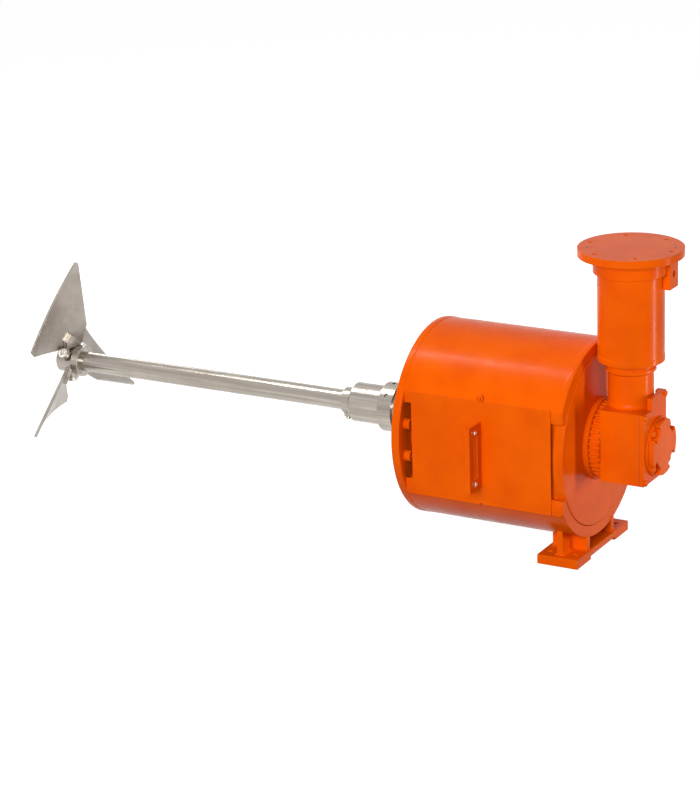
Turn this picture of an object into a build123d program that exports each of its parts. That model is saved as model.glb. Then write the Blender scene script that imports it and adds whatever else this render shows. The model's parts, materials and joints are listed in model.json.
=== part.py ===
from build123d import *
import math
import os

# Side entry tank mixer: a drum mounting on a foot, a right angle bevel gearbox with an upright
# motor lantern, a mechanical seal, and a long shaft with a three bladed propeller.
# Millimetres. X runs along the propeller shaft from the tank to the drive, Z is up, and the
# origin is the centre of the drum's tank side face.

# ---- drum mounting ----
DRUM_R = 240.0            # outside of the drum
DRUM_WALL = 14.0
DRUM_LENGTH = 434.0
FRONT_WALL = 18.0         # thickness of the front wall outside the hub ring
HUB_RING_R = 172.0        # thick middle of the front wall
HUB_RING_WALL = 32.0
FRONT_BORE_R = 100.2
SPIGOT_RECESS_R = 130.2   # shallow recess that centres the seal carrier
SPIGOT_RECESS = 14.0
TANK_BOLT_COUNT = 16
TANK_BOLT_PCD = 410.0
TANK_BOLT_HOLE_R = 8.75
TANK_BOSS_R = 13.5
TANK_BOSS_X = 34.0        # drive side end of the bolt bosses
WINDOW_PLANE = 205.0      # half the width across the two flats that the windows are cut on
WINDOW_START = 20.0
SEAT_X = 394.0            # front of the inner ring that carries the rear plate
SEAT_THICKNESS = 18.0
SEAT_BORE_R = 160.0
SEAT_FLAT = 190.0         # half the width across the seat ring inside the windows

# ---- rear plate ----
PLATE_R = 212.0
PLATE_THICKNESS = 24.0
PLATE_GAP = 1.5           # between the plate's rim and the drum
PLATE_BORE_R = 46.0
PLATE_BOLT_COUNT = 8
PLATE_BOLT_PCD = 376.0
PLATE_BOLT_R = 6.0        # M12

# ---- foot ----
FOOT_X0 = 337.0
FOOT_X1 = 442.0
FOOT_WIDTH = 294.0
FOOT_TOP = -262.0
FOOT_THICKNESS = 23.0
FOOT_RELIEF_WIDTH = 140.0
FOOT_RELIEF = 8.0
FOOT_HOLE_R = 7.0
FOOT_HOLE_SPACING_X = 66.0
FOOT_HOLE_SPACING_Y = 236.0
FOOT_WALL_OUT = 76.0      # outside of each upright wall, from the middle
FOOT_WALL = 14.0
FOOT_WALL_X0 = 345.0
FOOT_RIB = 14.0
FOOT_RIB_OUT = 132.0

# ---- access covers ----
COVER_X0 = 38.5
COVER_X1 = 404.0
COVER_TOP = 125.0
COVER_BOTTOM = -133.0
COVER_THICKNESS = 3.0
CLAMP_RAISE = 8.0         # clamp screws sit this far beyond the cover's edges
CLAMP_BOSS_R = 9.0
CLAMP_WASHER_R = 9.5
CLAMP_HEAD_R = 5.5
HANDLE_X = 219.0
HANDLE_THICKNESS = 5.0
HANDLE_DEPTH = 62.0
HANDLE_TOP = 76.0
HANDLE_BOTTOM = -86.0
HANDLE_SLOT_IN = 20.0
HANDLE_SLOT_OUT = 42.0
HANDLE_SLOT_END = 28.0    # from the slot to each end of the plate
HANDLE_LIP = 9.0          # bent edge that the fingers pull on
HANDLE_LIP_T = 4.0
HANDLE_SCREW_DEPTH = 37.0
HANDLE_SCREW_END = 17.0

# ---- seal and its carrier ----
SHAFT_R = 25.0
CARRIER_GAP = 0.2
CARRIER_NECK_R = 55.0
CARRIER_NECK_X = -100.0
CARRIER_BORE_R = 30.0
STEADY_BEARING_R = 40.0   # 50 x 80 x 16 bearing
STEADY_BEARING_W = 16.0
CARRIER_SCREW_COUNT = 8
CARRIER_SCREW_PCD = 230.0
SEAL_FLANGE_R = 61.5
SEAL_FLANGE_X = -137.0
SEAL_HOUSING_R = 49.0
SEAL_HOUSING_X = -228.0
SEAL_CAVITY_R = 40.0
SEAL_SLEEVE_R = 29.0
COLLAR_R = 33.0
COLLAR_WIDTH = 22.0
RUN_GAP = 0.05            # running and sliding fits, on the radius

# ---- propeller ----
HUB_X = -1071.0           # where the blade planes meet the shaft axis
HUB_R = 33.0
HUB_X0 = -1102.0
HUB_X1 = -1055.0
HUB_BORE_R = 18.0
BLADE_COUNT = 3
BLADE_FIRST = 10.0        # turn of the first blade about the shaft, in degrees
BLADE_PITCH = 58.0        # angle between a blade's chord and the shaft, in degrees
BLADE_THICKNESS = 7.0
BLADE_CAMBER_R = 330.0
BLADE_TIP_R = 264.0
ARM_THICKNESS = 12.0
ARM_R = 74.0
HUB_RING_OUTER_R = 40.0
HUB_RING_WIDTH = 22.0
HUB_BOSS_FIRST = 55.0     # turn of the first screw boss about the shaft, in degrees
HUB_BOSS_R = 15.0
HUB_BOSS_TOP = 46.0
HUB_SCREW_R = 8.0
HUB_SCREW_HEAD_R = 12.5
NUT_RECESS = 15.0

# ---- shaft line inside the drum ----
SHAFT_END = 306.0
COUPLING_X0 = 260.0
COUPLING_X1 = 354.0
COUPLING_R = 54.0
COUPLING_SPLIT = 2.0
DRIVE_SHAFT_R = 20.0
BEARING_R = 34.0          # 40 x 68 x 15 bearings on the output shaft
BEARING_W = 15.0

# ---- gearbox ----
BOX_X0 = 472.0
BOX_X1 = 572.0
BOX_FRONT = -80.0
BOX_BACK = 50.0
BOX_BOTTOM = -78.0
BOX_TOP = 98.0
BOX_WALL = 9.0
BOX_ROUND_R = 74.0        # round body about the output shaft
MOUNT_RING_R = 100.0
MOUNT_RING_T = 12.0
MOUNT_BARREL_R = 88.0
RIB_COUNT = 40
RIB_HEIGHT = 7.0
RIB_WIDTH = 5.0
MOUNT_SCREW_PCD = 160.0
MOUNT_SCREW_COUNT = 6
COVER_PLATE = 12.0
TAB_FRONT = -33.0
TAB_TOP = 126.0
TAB_WEB = 9.0
CAP_R = 68.0
CAP_THICKNESS = 19.0
CAP_BASE = 6.0
CAP_BASE_R = 72.0
CAP_NOTCHES = 4
CAP_NOTCH_WIDTH = 36.0
CAP_NOTCH_IN = 50.0       # from the axis to the floor of a notch
CAP_SCREW_PCD = 122.0
CAP_SCREW_R = 5.0
BOX_SCREW_R = 4.0

# ---- bevel gears ----
MODULE = 3.0
WHEEL_TEETH = 36
PINION_TEETH = 12
FACE_SHARE = 0.72         # inner end of the teeth as a share of the cone distance
ADDENDUM = 0.8
DEDENDUM = 1.05
TOOTH_SHARE = 0.42        # tooth thickness as a share of the circular pitch
FLANK_ANGLE = 20.0

# ---- upright drive ----
MOTOR_X = 516.0
NECK_R = 54.0
NECK_TOP = 208.0
STEP_R = 60.0
STEP_Z = 184.0
INPUT_SHAFT_R = 15.0
INPUT_BEARING_R = 31.0    # 30 x 62 x 16 bearings on the input shaft
INPUT_BEARING_W = 16.0
LANTERN_R = 79.0
LANTERN_WALL = 13.0
LANTERN_FLOOR = 12.0
COLLAR_BAND_R = 89.0
COLLAR_BAND_Z = 422.0
COLLAR_BAND_SLOPE = 3.0
LANTERN_FOOT_H = 13.0     # slightly wider ring round the lantern's lower end
HATCH_OUT = 97.0
HATCH_Y0 = 4.0
HATCH_Y1 = 50.0
HATCH_Z0 = 384.0
HATCH_POCKET = 14.0
MOTOR_FLANGE_R = 125.0
MOTOR_FLANGE_Z = 480.0
MOTOR_FLANGE_T = 18.0
MOTOR_PCD = 205.0
MOTOR_HOLES = 6
MOTOR_HOLE_R = 5.5
BLANK_R = 90.0
BLANK_T = 6.0
JAW_R = 40.0

PLATE_X = SEAT_X + SEAT_THICKNESS
PLATE_FACE = PLATE_X + PLATE_THICKNESS
FRONT_BEARING_X = BOX_X0 - 11
WHEEL_PITCH_R = MODULE * WHEEL_TEETH / 2
PINION_PITCH_R = MODULE * PINION_TEETH / 2


def rod(x0, x1, radius, y=0.0, z=0.0):
    """Solid cylinder along X."""
    plane = Plane(origin=(x0, y, z), x_dir=(0, 1, 0), z_dir=(1, 0, 0))
    return extrude(plane * Circle(radius), x1 - x0)


def tube(x0, x1, outer, inner):
    """Hollow cylinder along X."""
    return rod(x0, x1, outer) - rod(x0 - 1, x1 + 1, inner)


def post(z0, z1, radius, x=MOTOR_X, y=0.0):
    """Solid cylinder along Z."""
    return Pos(x, y, z0) * extrude(Circle(radius), z1 - z0)


def pipe(z0, z1, outer, inner):
    """Hollow cylinder along the upright drive's axis."""
    return post(z0, z1, outer) - post(z0 - 1, z1 + 1, inner)


def block(x0, x1, y0, y1, z0, z1):
    """Box between two corners."""
    centre = Pos((x0 + x1) / 2, (y0 + y1) / 2, (z0 + z1) / 2)
    return centre * Box(x1 - x0, y1 - y0, z1 - z0)


def circle_points(pcd, count, start=0.0):
    """Y, Z places on a circle about the shaft axis."""
    turn = 2 * math.pi / count
    angles = [math.radians(start) + turn * i for i in range(count)]
    return [(pcd / 2 * math.cos(a), pcd / 2 * math.sin(a)) for a in angles]


def hex_screw(x_head, x_end, radius, y, z):
    """Hexagon head screw along X; the head lies beyond x_head, away from x_end."""
    way = 1 if x_end > x_head else -1
    head = 0.65 * 2 * radius
    plane = Plane(origin=(x_head, y, z), x_dir=(0, 1, 0), z_dir=(-way, 0, 0))
    hexagon = extrude(plane * RegularPolygon(1.8 * radius, 6), head)
    return hexagon + rod(min(x_head, x_end), max(x_head, x_end), radius, y, z)


def spin(x_points):
    """Solid of revolution about the shaft axis from (x, radius) points."""
    return revolve(make_face(Polyline(*[(x, 0, r) for x, r in x_points], close=True)), Axis.X)


def turned(z_points):
    """Solid of revolution about the upright axis from (radius, z) points."""
    outline = Polyline(*[(MOTOR_X + r, 0, z) for r, z in z_points], close=True)
    return revolve(make_face(outline), Axis((MOTOR_X, 0, 0), (0, 0, 1)))


def save(name, *solids):
    """Write one node, as one solid or as a group of separate ones."""
    shape = solids[0] if len(solids) == 1 else Compound(children=list(solids))
    export_step(shape, f"parts/{name}.step")


# ---------------------------------------------------------------- drum
def foot_body():
    width = FOOT_WIDTH / 2
    base = block(FOOT_X0, FOOT_X1, -width, width, FOOT_TOP - FOOT_THICKNESS, FOOT_TOP)
    middle = (FOOT_X0 + FOOT_X1) / 2
    body = base
    for side in (-1, 1):
        y0, y1 = sorted((side * (FOOT_WALL_OUT - FOOT_WALL), side * FOOT_WALL_OUT))
        body += block(FOOT_WALL_X0, FOOT_X1 - 6, y0, y1, FOOT_TOP - 1, -DRUM_R + DRUM_WALL)
        y0, y1 = sorted((side * (FOOT_WALL_OUT - 1), side * FOOT_RIB_OUT))
        x0 = middle - FOOT_RIB / 2
        body += block(x0, x0 + FOOT_RIB, y0, y1, FOOT_TOP - 1, -DRUM_R * 0.8)
    relief = FOOT_RELIEF_WIDTH / 2
    bottom = FOOT_TOP - FOOT_THICKNESS
    body -= block(FOOT_X0 - 1, FOOT_X1 + 1, -relief, relief, bottom - 1, bottom + FOOT_RELIEF)
    for dx in (-1, 1):
        for dy in (-1, 1):
            x = middle + dx * FOOT_HOLE_SPACING_X / 2
            y = dy * FOOT_HOLE_SPACING_Y / 2
            body -= post(bottom - 1, FOOT_TOP + 1, FOOT_HOLE_R, x, y)
    return body


def clamp_places():
    """X, Z of the clamp screw above each cover."""
    return [((COVER_X0 + COVER_X1) / 2, COVER_TOP + CLAMP_RAISE)]


def drum_housing():
    body = rod(0, DRUM_LENGTH, DRUM_R) + foot_body()
    body -= rod(HUB_RING_WALL, SEAT_X, DRUM_R - DRUM_WALL)
    body -= rod(FRONT_WALL, HUB_RING_WALL + 1, DRUM_R - DRUM_WALL) - rod(0, 50, HUB_RING_R)
    body -= rod(SEAT_X - 1, PLATE_X, SEAT_BORE_R)
    body -= rod(PLATE_X, DRUM_LENGTH + 1, PLATE_R + PLATE_GAP)
    far = DRUM_R + 10
    for side in (-1, 1):
        y0, y1 = sorted((side * WINDOW_PLANE, side * far))
        body -= block(WINDOW_START, DRUM_LENGTH + 1, y0, y1, -DRUM_R * 0.75, DRUM_R * 0.75)
        y0, y1 = sorted((side * SEAT_FLAT, side * far))
        body -= block(SEAT_X - 1, DRUM_LENGTH + 1, y0, y1, -SEAT_FLAT / 2, SEAT_FLAT / 2)
    for y, z in circle_points(TANK_BOLT_PCD, TANK_BOLT_COUNT, 180 / TANK_BOLT_COUNT):
        body += rod(FRONT_WALL - 1, TANK_BOSS_X, TANK_BOSS_R, y, z)
    for y, z in circle_points(TANK_BOLT_PCD, TANK_BOLT_COUNT, 180 / TANK_BOLT_COUNT):
        body -= rod(-1, TANK_BOSS_X + 1, TANK_BOLT_HOLE_R, y, z)
    body -= rod(-1, SPIGOT_RECESS, SPIGOT_RECESS_R)
    body -= rod(-1, HUB_RING_WALL + 1, FRONT_BORE_R)
    for y, z in circle_points(PLATE_BOLT_PCD, PLATE_BOLT_COUNT, 22.5):
        body -= rod(SEAT_X - 1, PLATE_X + 1, PLATE_BOLT_R + 0.5, y, z)
    for y, z in circle_points(CARRIER_SCREW_PCD, CARRIER_SCREW_COUNT, 22.5):
        body -= rod(SPIGOT_RECESS - 1, HUB_RING_WALL - 4, 5.0 + RUN_GAP, y, z)
    for side in (-1, 1):
        for x, z in clamp_places():
            body += clamp_boss(side, x, z)
            body -= clamp_rod(side, x, z, 150, WINDOW_PLANE + 10, 4.0 + RUN_GAP)
    return body


def clamp_rod(side, x, z, y_in, y_out, radius):
    """Cylinder along Y on one side of the drum."""
    plane = Plane(origin=(x, side * y_in, z), x_dir=(1, 0, 0), z_dir=(0, side, 0))
    return extrude(plane * Circle(radius), y_out - y_in)


def clamp_boss(side, x, z):
    """Boss on the drum that holds a clamp screw level with the cover's face."""
    inner = math.sqrt(DRUM_R ** 2 - z ** 2) - 12
    return clamp_rod(side, x, z, inner, WINDOW_PLANE + COVER_THICKNESS, CLAMP_BOSS_R - 3)


def rear_plate():
    plate = tube(PLATE_X, PLATE_FACE, PLATE_R, PLATE_BORE_R)
    for y, z in circle_points(PLATE_BOLT_PCD, PLATE_BOLT_COUNT, 22.5):
        plate -= rod(PLATE_X - 1, PLATE_X + 18, PLATE_BOLT_R + RUN_GAP, y, z)
    for y, z in circle_points(MOUNT_SCREW_PCD, MOUNT_SCREW_COUNT, 30):
        plate -= rod(PLATE_X - 1, PLATE_FACE + 1, 5.5, y, z)
    return chamfer(plate.edges().filter_by(GeomType.CIRCLE).group_by(Axis.X)[-1].sort_by(
        SortBy.RADIUS)[-1], 1.5)


def rear_plate_screws():
    places = circle_points(PLATE_BOLT_PCD, PLATE_BOLT_COUNT, 22.5)
    return [hex_screw(SEAT_X, PLATE_X + 16, PLATE_BOLT_R, y, z) for y, z in places]


def gearbox_mount_screws():
    places = circle_points(MOUNT_SCREW_PCD, MOUNT_SCREW_COUNT, 30)
    return [hex_screw(PLATE_X, PLATE_FACE + 13, 5.0, y, z) for y, z in places]


# ---------------------------------------------------------------- covers
def access_cover(side):
    y0, y1 = sorted((side * WINDOW_PLANE, side * (WINDOW_PLANE + COVER_THICKNESS)))
    cover = block(COVER_X0, COVER_X1, y0, y1, COVER_BOTTOM, COVER_TOP)
    for x, z in clamp_places():
        cover -= clamp_rod(side, x, z, WINDOW_PLANE - 5, WINDOW_PLANE + 9, CLAMP_BOSS_R)
        cover -= clamp_rod(side, x, COVER_BOTTOM, WINDOW_PLANE - 5, WINDOW_PLANE + 9, 4.0)
    return cover


def cover_handle(side):
    """Plate handle standing on the cover, with a hand slot and a rounded grip."""
    y_in = WINDOW_PLANE + COVER_THICKNESS
    y_out = y_in + HANDLE_DEPTH
    x0 = HANDLE_X
    x1 = HANDLE_X + HANDLE_THICKNESS
    y0, y1 = sorted((side * y_in, side * y_out))
    plate = block(x0, x1, y0, y1, HANDLE_BOTTOM, HANDLE_TOP)
    s0, s1 = sorted((side * (y_in + HANDLE_SLOT_IN), side * (y_in + HANDLE_SLOT_OUT)))
    z0 = HANDLE_BOTTOM + HANDLE_SLOT_END
    plate -= block(x0 - 1, x1 + 1, s0, s1, z0, HANDLE_TOP - HANDLE_SLOT_END)
    l0, l1 = sorted((side * (y_out - HANDLE_LIP_T), side * y_out))
    plate += block(x0 - HANDLE_LIP, x1, l0, l1, HANDLE_BOTTOM, HANDLE_TOP)
    outer = plate.edges().filter_by(Axis.Z).group_by(Axis.Y)[-1 if side > 0 else 0]
    return fillet(outer, HANDLE_LIP_T / 2.5)


def handle_screws(side):
    y = side * (WINDOW_PLANE + COVER_THICKNESS + HANDLE_SCREW_DEPTH)
    x1 = HANDLE_X + HANDLE_THICKNESS
    ends = (HANDLE_BOTTOM + HANDLE_SCREW_END, HANDLE_TOP - HANDLE_SCREW_END)
    return [rod(x1, x1 + 5, 6.5, y, z) for z in ends]


def clamp_screws(side):
    face = WINDOW_PLANE + COVER_THICKNESS
    screws = []
    for x, z in clamp_places():
        screw = clamp_rod(side, x, z, face - 30, face + 2, 4.0)
        screw += clamp_rod(side, x, z, face, face + 2.5, CLAMP_WASHER_R)
        screw += clamp_rod(side, x, z, face + 2, face + 9, CLAMP_HEAD_R)
        screws.append(screw)
    return screws


# ---------------------------------------------------------------- seal
def seal_carrier():
    points = [(CARRIER_NECK_X, CARRIER_BORE_R), (CARRIER_NECK_X, CARRIER_NECK_R),
              (0, CARRIER_NECK_R), (0, SPIGOT_RECESS_R - CARRIER_GAP),
              (SPIGOT_RECESS, SPIGOT_RECESS_R - CARRIER_GAP),
              (SPIGOT_RECESS, FRONT_BORE_R - CARRIER_GAP),
              (HUB_RING_WALL, FRONT_BORE_R - CARRIER_GAP), (HUB_RING_WALL, STEADY_BEARING_R),
              (HUB_RING_WALL - STEADY_BEARING_W - 4, STEADY_BEARING_R),
              (HUB_RING_WALL - STEADY_BEARING_W - 4, CARRIER_BORE_R)]
    body = spin(points)
    for y, z in circle_points(CARRIER_SCREW_PCD, CARRIER_SCREW_COUNT, 22.5):
        body -= rod(-1, SPIGOT_RECESS + 1, 5.5, y, z) + rod(-1, 9, 9.0, y, z)
    return body


def carrier_screws():
    places = circle_points(CARRIER_SCREW_PCD, CARRIER_SCREW_COUNT, 22.5)
    return [rod(1, 9, 8.0, y, z) + rod(8, HUB_RING_WALL - 5, 5.0, y, z) for y, z in places]


def seal_flange():
    flange = tube(SEAL_FLANGE_X, CARRIER_NECK_X, SEAL_FLANGE_R, CARRIER_BORE_R)
    for angle in (0, 45, 180, 225):
        port = Rot(angle, 0, 0) * Pos((SEAL_FLANGE_X + CARRIER_NECK_X) / 2, 0, SEAL_FLANGE_R)
        flange -= port * Cylinder(5, 24)
    return flange


def seal_housing():
    points = [(SEAL_HOUSING_X, SEAL_SLEEVE_R + 1.5), (SEAL_HOUSING_X, SEAL_HOUSING_R - 5),
              (SEAL_HOUSING_X + 5, SEAL_HOUSING_R), (SEAL_FLANGE_X, SEAL_HOUSING_R),
              (SEAL_FLANGE_X, SEAL_CAVITY_R), (SEAL_HOUSING_X + 9, SEAL_CAVITY_R),
              (SEAL_HOUSING_X + 9, SEAL_SLEEVE_R + 1.5)]
    return spin(points)


def seal_bellows():
    """Corrugated spring tube that presses the turning ring onto the fixed one."""
    x = SEAL_HOUSING_X + 26
    pitch = 6.0
    outer = [(x, 30.5), (x, 33)]
    for i in range(4):
        outer += [(x + pitch * (i + 0.5), 37), (x + pitch * (i + 1), 33)]
    end = x + pitch * 4
    return spin(outer + [(end, 30.5)])


# ---------------------------------------------------------------- propeller
def blade_plane(x=HUB_X):
    """Chord along the plane's x, radius along its y, pressure side along its z."""
    pitch = math.radians(BLADE_PITCH)
    chord = (math.cos(pitch), math.sin(pitch), 0)
    return Plane(origin=(x, 0, 0), x_dir=chord, z_dir=(math.sin(pitch), -math.cos(pitch), 0))


def blade():
    outline = Polyline((-42, 40), (-112, 53), (-119, 66), (50, BLADE_TIP_R), (57, BLADE_TIP_R - 3),
                       (52, 87), (32, 40), close=True)
    prism = extrude(make_face(outline), 60, both=True)
    radius = BLADE_CAMBER_R
    ring = Circle(radius) - Circle(radius - BLADE_THICKNESS)
    origin = (0, 30, radius - BLADE_THICKNESS)
    curve = extrude(Plane(origin=origin, x_dir=(1, 0, 0), z_dir=(0, 1, 0)) * ring, 250)
    below = Pos(0, 150, 0) * Box(400, 400, 120)
    return blade_plane() * ((prism & curve & below) - arm_prism())


def arm_prism():
    """Pointed arm on the blade's pressure side, from inside the hub outwards."""
    outline = Polyline((-18, 20), (-14, 58), (2, ARM_R), (22, 60), (26, 20), close=True)
    return extrude(make_face(outline), ARM_THICKNESS, dir=(0, 0, 1))


def hub_turns(first):
    return [Rot(first + 360 / BLADE_COUNT * i, 0, 0) for i in range(BLADE_COUNT)]


def hub_post(r0, r1, radius):
    """Cylinder standing out of the hub, from one radius to another."""
    return Pos(HUB_X, 0, (r0 + r1) / 2) * Cylinder(radius, r1 - r0)


def hub_screws():
    screw = hub_post(HUB_BORE_R + 3, HUB_BOSS_TOP + 1, HUB_SCREW_R)
    screw += hub_post(HUB_BOSS_TOP, HUB_BOSS_TOP + 10, HUB_SCREW_HEAD_R)
    return [turn * screw for turn in hub_turns(HUB_BOSS_FIRST)]


def propeller_hub():
    body = rod(HUB_X0, HUB_X1, HUB_R)
    for turn in hub_turns(BLADE_FIRST):
        body += turn * (blade_plane() * arm_prism())
    for turn in hub_turns(HUB_BOSS_FIRST):
        body += turn * hub_post(HUB_BORE_R + 3, HUB_BOSS_TOP, HUB_BOSS_R)
        body -= turn * hub_post(HUB_BORE_R, HUB_BOSS_TOP + 1, HUB_SCREW_R + RUN_GAP)
    body -= rod(HUB_X1, HUB_X1 + 60, HUB_RING_OUTER_R + 1)
    body -= rod(HUB_X0 - 1, HUB_X0 + NUT_RECESS, 28)
    return body - rod(HUB_X0 - 60, HUB_X1 + 60, HUB_BORE_R + RUN_GAP)


def hub_clamp_ring():
    x1 = HUB_X1 + HUB_RING_WIDTH
    ring = rod(HUB_X1, x1, HUB_RING_OUTER_R)
    ring = chamfer(ring.edges().filter_by(GeomType.CIRCLE), 2)
    return ring - rod(HUB_X1 - 1, x1 + 1, SHAFT_R + RUN_GAP)


def propeller_shaft():
    end = HUB_X0 + 2
    points = [(end, 0), (end, HUB_BORE_R), (HUB_X1, HUB_BORE_R), (HUB_X1, SHAFT_R),
              (SHAFT_END, SHAFT_R), (SHAFT_END, 0)]
    return spin(points)


def hub_nut():
    x = HUB_X0 + NUT_RECESS
    plane = Plane(origin=(x, 0, 0), x_dir=(0, 1, 0), z_dir=(-1, 0, 0))
    nut = extrude(plane * RegularPolygon(26, 6), NUT_RECESS - 1)
    return nut - rod(HUB_X0, x + 1, HUB_BORE_R + RUN_GAP)


# ---------------------------------------------------------------- shaft line
def coupling_half(side):
    body = tube(COUPLING_X0, COUPLING_X1, COUPLING_R, SHAFT_R + RUN_GAP)
    z0, z1 = sorted((side * COUPLING_SPLIT / 2, side * 100))
    half = body & block(COUPLING_X0 - 1, COUPLING_X1 + 1, -100, 100, z0, z1)
    for x, y in coupling_screw_places():
        half -= post(-60, 60, 4.0 + RUN_GAP, x, y)
        if side > 0:
            half -= post(22, 80, 8.0, x, y)
    return half


def coupling_screw_places():
    xs = [COUPLING_X0 + 12, COUPLING_X0 + 35, COUPLING_X1 - 35, COUPLING_X1 - 12]
    return [(x, y) for x in xs for y in (-38, 38)]


def coupling_screws():
    return [post(-22, 22.5, 4.0, x, y) + post(22, 31, 6.5, x, y) for x, y in coupling_screw_places()]


def output_shaft():
    box_end = BOX_X1 + COVER_PLATE
    points = [(SHAFT_END + 4, 0), (SHAFT_END + 4, SHAFT_R), (PLATE_FACE - 4, SHAFT_R),
              (PLATE_FACE - 4, 23), (FRONT_BEARING_X, 23), (FRONT_BEARING_X, DRIVE_SHAFT_R),
              (box_end - 2, DRIVE_SHAFT_R), (box_end - 2, 0)]
    return spin(points)


def shaft_bearing(x, bore, outer, width):
    """Outer race with shields, and the inner race with its own small gap."""
    lip = (outer - bore) * 0.3
    outer_points = [(x, outer), (x + width, outer), (x + width, bore + lip), (x + width - 1.5, bore + lip),
                    (x + width - 1.5, outer - lip), (x + 1.5, outer - lip), (x + 1.5, bore + lip),
                    (x, bore + lip)]
    inner = tube(x, x + width, bore + lip - 0.4, bore + RUN_GAP)
    return spin(outer_points), inner


# ---------------------------------------------------------------- bevel gears
def tooth(axis_point, cone_radius, cone_height, angle, section):
    """One straight bevel tooth that runs towards the common apex.

    section holds the tooth's corners as (height above the pitch cone, half width).
    """
    distance = math.hypot(cone_radius, cone_height)
    ends = []
    for share in (1.0, FACE_SHARE):
        corners = []
        for height, half in section:
            axial = cone_height - height * cone_radius / distance
            radius = cone_radius + height * cone_height / distance
            corners.append(axis_point(axial * share, radius * share, half * share, angle))
        ends.append(make_face(Polyline(*corners, close=True)))
    return loft(ends, ruled=True)


def tooth_section():
    half = TOOTH_SHARE * math.pi * MODULE / 2
    slope = math.tan(math.radians(FLANK_ANGLE))
    tip = ADDENDUM * MODULE
    root = DEDENDUM * MODULE + 0.6
    return [(tip, half - tip * slope), (tip, -half + tip * slope),
            (-root, -half - root * slope), (-root, half + root * slope)]


def wheel_point(axial, radius, across, angle):
    c, s = math.cos(angle), math.sin(angle)
    return (MOTOR_X - axial, radius * s + across * c, radius * c - across * s)


def pinion_point(axial, radius, across, angle):
    c, s = math.cos(angle), math.sin(angle)
    return (MOTOR_X - radius * c - across * s, radius * s - across * c, axial)


def root_cone(cone_radius, cone_height, share):
    """Axial place and radius of the tooth roots at a share of the cone distance."""
    distance = math.hypot(cone_radius, cone_height)
    depth = DEDENDUM * MODULE
    axial = cone_height + depth * cone_radius / distance
    radius = cone_radius - depth * cone_height / distance
    return axial * share, radius * share


def bevel_wheel():
    a0, r0 = root_cone(WHEEL_PITCH_R, PINION_PITCH_R, 1.0)
    a1, r1 = root_cone(WHEEL_PITCH_R, PINION_PITCH_R, FACE_SHARE)
    back = FRONT_BEARING_X + BEARING_W + 0.5
    bore = DRIVE_SHAFT_R + RUN_GAP
    points = [(back, bore), (back, 30), (MOTOR_X - a0 - 4, 34), (MOTOR_X - a0 - 4, r0 - 2),
              (MOTOR_X - a0, r0), (MOTOR_X - a1, r1), (MOTOR_X - a1, 27), (MOTOR_X - 9, 27),
              (MOTOR_X - 9, bore)]
    wheel = spin(points)
    teeth = []
    for i in range(WHEEL_TEETH):
        angle = 2 * math.pi * (i + 0.5) / WHEEL_TEETH
        teeth.append(tooth(wheel_point, WHEEL_PITCH_R, PINION_PITCH_R, angle, tooth_section()))
    return wheel + teeth


def bevel_pinion():
    a0, r0 = root_cone(PINION_PITCH_R, WHEEL_PITCH_R, 1.0)
    a1, r1 = root_cone(PINION_PITCH_R, WHEEL_PITCH_R, FACE_SHARE)
    bore = 7.0 + RUN_GAP
    body = turned([(bore, a1), (r1, a1), (r0, a0), (r0 - 1, a0 + 10), (bore, a0 + 10)])
    teeth = []
    for i in range(PINION_TEETH):
        angle = 2 * math.pi * i / PINION_TEETH
        teeth.append(tooth(pinion_point, PINION_PITCH_R, WHEEL_PITCH_R, angle, tooth_section()))
    return body + teeth


# ---------------------------------------------------------------- gearbox
def box_outline(x0, x1, grow=0.0):
    """Square body with a round one about the output shaft."""
    square = block(x0, x1, BOX_FRONT - grow, BOX_BACK + grow, BOX_BOTTOM - grow, BOX_TOP + grow)
    return square + rod(x0, x1, BOX_ROUND_R + grow)


def box_screw_places():
    inset = 8
    return [(BOX_FRONT + inset, BOX_TOP - inset), (BOX_FRONT + inset, BOX_BOTTOM + inset),
            (BOX_BACK - inset, TAB_TOP - inset)]


def gearbox_housing():
    body = box_outline(BOX_X0, BOX_X1)
    body += block(BOX_X1 - TAB_WEB, BOX_X1, BOX_BACK - 16, BOX_BACK, BOX_TOP - 10, TAB_TOP)
    body += rod(PLATE_FACE, PLATE_FACE + MOUNT_RING_T, MOUNT_RING_R)
    body += rod(PLATE_FACE, BOX_X0 + 1, MOUNT_BARREL_R)
    body += mount_ribs()
    body -= box_outline(BOX_X0 + BOX_WALL, BOX_X1 + 1, -BOX_WALL)
    body -= rod(FRONT_BEARING_X - 1, BOX_X0 + BOX_WALL + 1, BEARING_R + RUN_GAP)
    body -= rod(PLATE_FACE - 1, FRONT_BEARING_X, 28)
    body -= post(BOX_TOP - BOX_WALL - 1, BOX_TOP + 1, 42)
    for y, z in circle_points(MOUNT_SCREW_PCD, MOUNT_SCREW_COUNT, 30):
        body -= rod(PLATE_FACE - 1, PLATE_FACE + 22, 5.0 + RUN_GAP, y, z)
    for y, z in box_screw_places():
        if z < BOX_TOP:
            body += rod(BOX_X1 - 26, BOX_X1, 8, y, z)
        body -= rod(BOX_X1 - TAB_WEB - 1, BOX_X1 + 1, BOX_SCREW_R + RUN_GAP, y, z)
    return body


def mount_ribs():
    """Ribs between the mounting ring and the square body."""
    x = (PLATE_FACE + BOX_X0) / 2
    length = BOX_X0 - PLATE_FACE
    rib = Pos(x, 0, MOUNT_BARREL_R + RIB_HEIGHT / 2 - 1) * Box(length, RIB_WIDTH, RIB_HEIGHT + 2)
    return [Rot(360 / RIB_COUNT * i, 0, 0) * rib for i in range(RIB_COUNT)]


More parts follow.
